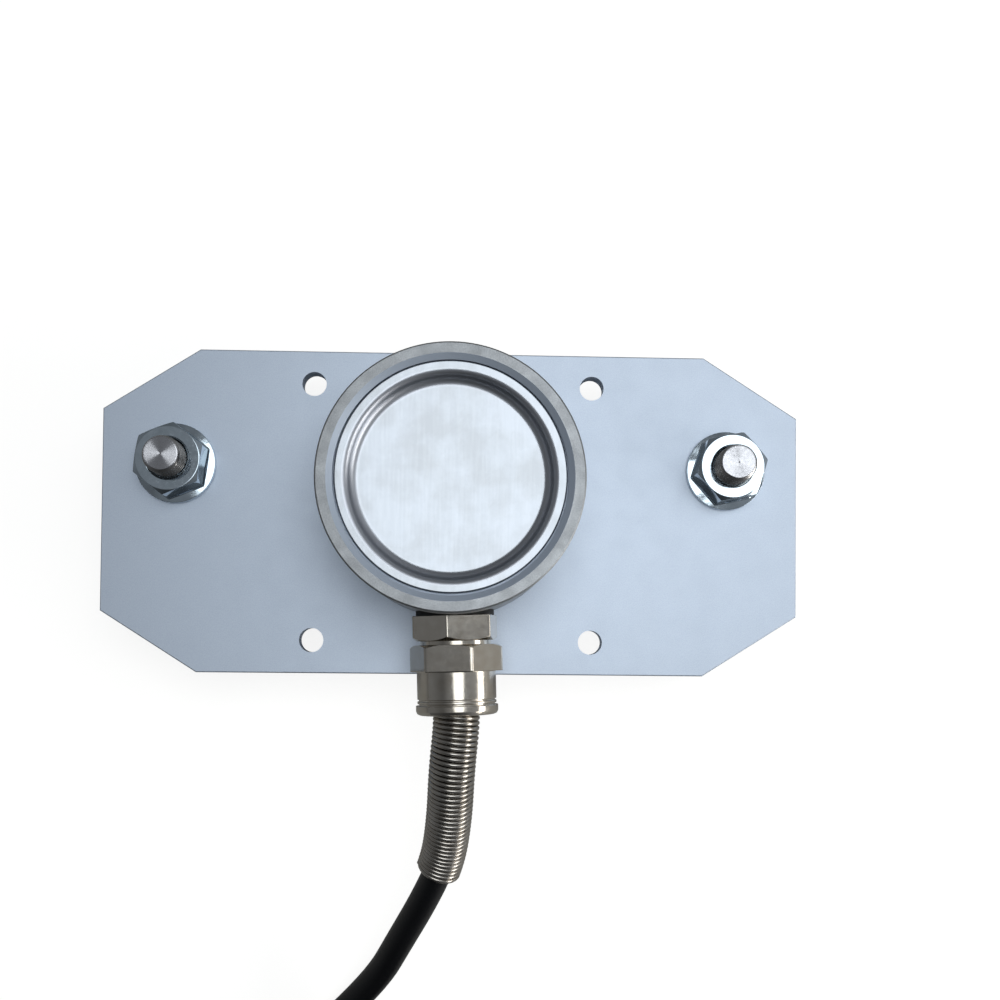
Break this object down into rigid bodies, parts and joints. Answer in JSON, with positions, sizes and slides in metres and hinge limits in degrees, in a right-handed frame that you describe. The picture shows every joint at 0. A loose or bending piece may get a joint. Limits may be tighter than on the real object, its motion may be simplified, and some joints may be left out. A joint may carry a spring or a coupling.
{
  "type": "three-pulley tension sensor",
  "caption": "Tension sensor: flat plate with grooved pulleys in line and a round load cell that carries the middle one, with a cable gland, a spring strain relief and a coiled cable.",
  "frame": {"origin": "under the centre of the plate, level with the outer faces of the pulleys on which it lies", "axes": "+X along the plate, +Z from the pulleys to the load cell, the cable gland points to -Y"},
  "size_m": [0.194, 0.3618, 0.069],
  "materials": {
    "anodised_plate": "satin clear anodised",
    "turned_steel": "turned",
    "zinc_plate": "bright zinc plated",
    "stainless": "fine bead blasted",
    "stainless_cover": "bright brushed",
    "gauge_foil": "film",
    "brass_plain": "turned",
    "circuit_board": "solder mask",
    "black_rubber": "matt",
    "nickel_plate": "bright nickel plated",
    "cable_sheath": "satin",
    "core_sheath": "matt",
    "spring_steel": "drawn wire",
    "pulley_aluminium": "hard anodised",
    "bearing_steel": "ground",
    "cage_brass": "pressed",
    "black_steel": "phosphated"
  },
  "bodies": {
    "base": {"base_plate": "anodised_plate", "left_axle": "turned_steel", "right_axle": "turned_steel", "middle_axle": "turned_steel", "left_flange_nut": "zinc_plate", "right_flange_nut": "zinc_plate", "load_cell_body": "stainless", "load_cell_cover": "stainless_cover", "load_cell_screws": "zinc_plate", "strain_gauges": "gauge_foil", "board_standoffs": "brass_plain", "terminal_board": "circuit_board", "board_screws": "zinc_plate", "gland_washer": "black_rubber", "gland_body": "nickel_plate", "gland_seal": "black_rubber", "gland_dome_nut": "nickel_plate", "cable_inner_end": "cable_sheath", "cable_cores": "core_sheath", "strain_relief_spring": "spring_steel", "cable": "cable_sheath", "cable_coil": "cable_sheath", "cable_leads": "core_sheath", "left_bearing_inner_ring": "bearing_steel", "left_axle_circlip": "black_steel", "middle_bearing_inner_ring": "bearing_steel", "middle_axle_circlip": "black_steel", "right_bearing_inner_ring": "bearing_steel", "right_axle_circlip": "black_steel"},
    "left_pulley": {"left_sheave": "pulley_aluminium", "left_bearing_outer_ring": "bearing_steel", "left_bearing_shields": "bearing_steel", "left_bore_circlip": "black_steel"},
    "left_ball_set": {"left_bearing_balls": "bearing_steel", "left_bearing_cage": "cage_brass"},
    "middle_pulley": {"middle_sheave": "pulley_aluminium", "middle_bearing_outer_ring": "bearing_steel", "middle_bearing_shields": "bearing_steel", "middle_bore_circlip": "black_steel"},
    "middle_ball_set": {"middle_bearing_balls": "bearing_steel", "middle_bearing_cage": "cage_brass"},
    "right_pulley": {"right_sheave": "pulley_aluminium", "right_bearing_outer_ring": "bearing_steel", "right_bearing_shields": "bearing_steel", "right_bore_circlip": "black_steel"},
    "right_ball_set": {"right_bearing_balls": "bearing_steel", "right_bearing_cage": "cage_brass"}
  },
  "joints": [
    {"name": "left_pulley_spin", "type": "hinge", "parent": "base", "child": "left_pulley", "pos_m": [-0.075, 0.0125, 0.006], "axis": [0, 0, 1], "continuous": true},
    {"name": "left_ball_set_spin", "type": "hinge", "parent": "base", "child": "left_ball_set", "pos_m": [-0.075, 0.0125, 0.0068], "axis": [0, 0, 1], "continuous": true},
    {"name": "middle_pulley_spin", "type": "hinge", "parent": "base", "child": "middle_pulley", "pos_m": [0, 0.004, 0.006], "axis": [0, 0, 1], "continuous": true},
    {"name": "middle_ball_set_spin", "type": "hinge", "parent": "base", "child": "middle_ball_set", "pos_m": [0, 0.004, 0.0068], "axis": [0, 0, 1], "continuous": true},
    {"name": "right_pulley_spin", "type": "hinge", "parent": "base", "child": "right_pulley", "pos_m": [0.075, 0.0125, 0.006], "axis": [0, 0, 1], "continuous": true},
    {"name": "right_ball_set_spin", "type": "hinge", "parent": "base", "child": "right_ball_set", "pos_m": [0.075, 0.0125, 0.0068], "axis": [0, 0, 1], "continuous": true}
  ],
  "couplings": [
    {"joint": "left_ball_set_spin", "follows": "left_pulley_spin", "ratio": 0.6323},
    {"joint": "middle_ball_set_spin", "follows": "middle_pulley_spin", "ratio": 0.6323},
    {"joint": "right_ball_set_spin", "follows": "right_pulley_spin", "ratio": 0.6323}
  ]
}
